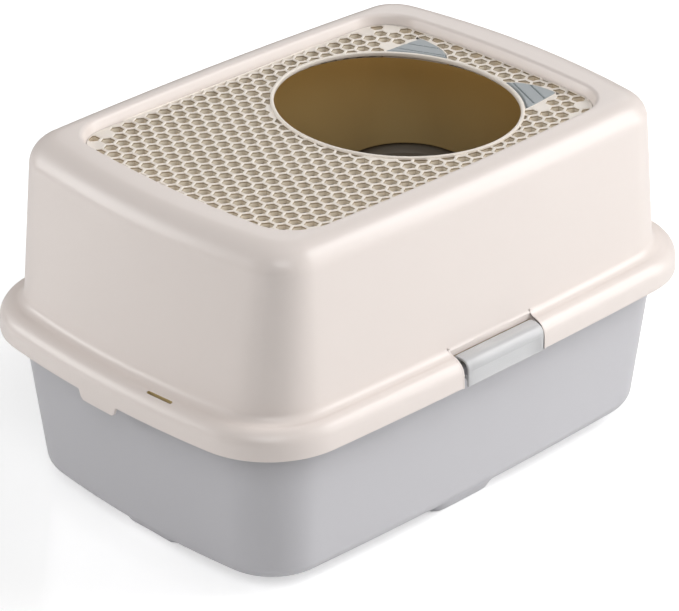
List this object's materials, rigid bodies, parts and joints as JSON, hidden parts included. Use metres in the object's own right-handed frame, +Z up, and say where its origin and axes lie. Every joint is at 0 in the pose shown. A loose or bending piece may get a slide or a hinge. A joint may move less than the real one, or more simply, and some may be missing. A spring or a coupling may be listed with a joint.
{
  "type": "cat litter box with hood",
  "caption": "Top-entry cat litter box: rounded grey pan, lift-off cream hood with a honeycomb top, oval entry collar, ear inserts and hinged side clips.",
  "frame": {"origin": "on the floor under the middle of the box", "axes": "+Z up; Y along the long side with the finger tab at -Y (the front); +X to the right of someone standing in front"},
  "size_m": [0.3752, 0.53, 0.305],
  "materials": {
    "pan_plastic": "satin moulded, light grey with a faint violet cast",
    "hood_plastic": "smooth semi-gloss, warm cream",
    "ear_plastic": "satin blue-grey",
    "clip_plastic": "satin grey with fine grip ribs",
    "pin_plastic": "plain moulded grey"
  },
  "bodies": {
    "pan": {"pan": "pan_plastic"},
    "hood": {"hood_shell": "hood_plastic", "top_grille": "hood_plastic", "entry_rim": "hood_plastic", "ear_left": "ear_plastic", "ear_right": "ear_plastic", "clip_pin_left": "pin_plastic", "clip_pin_right": "pin_plastic"},
    "clip_left": {"clip_left": "clip_plastic"},
    "clip_right": {"clip_right": "clip_plastic"}
  },
  "joints": [
    {"name": "hood_lift", "type": "slide", "parent": "pan", "child": "hood", "axis": [0, 0, 1], "range_m": [0, 0.2]},
    {"name": "clip_right_swing", "type": "hinge", "parent": "hood", "child": "clip_right", "pos_m": [0.1734, 0, 0.1622], "axis": [0, -1, 0], "range_deg": [0, 95]},
    {"name": "clip_left_swing", "type": "hinge", "parent": "hood", "child": "clip_left", "pos_m": [-0.1734, 0, 0.1622], "axis": [0, 1, 0], "range_deg": [0, 95]}
  ]
}
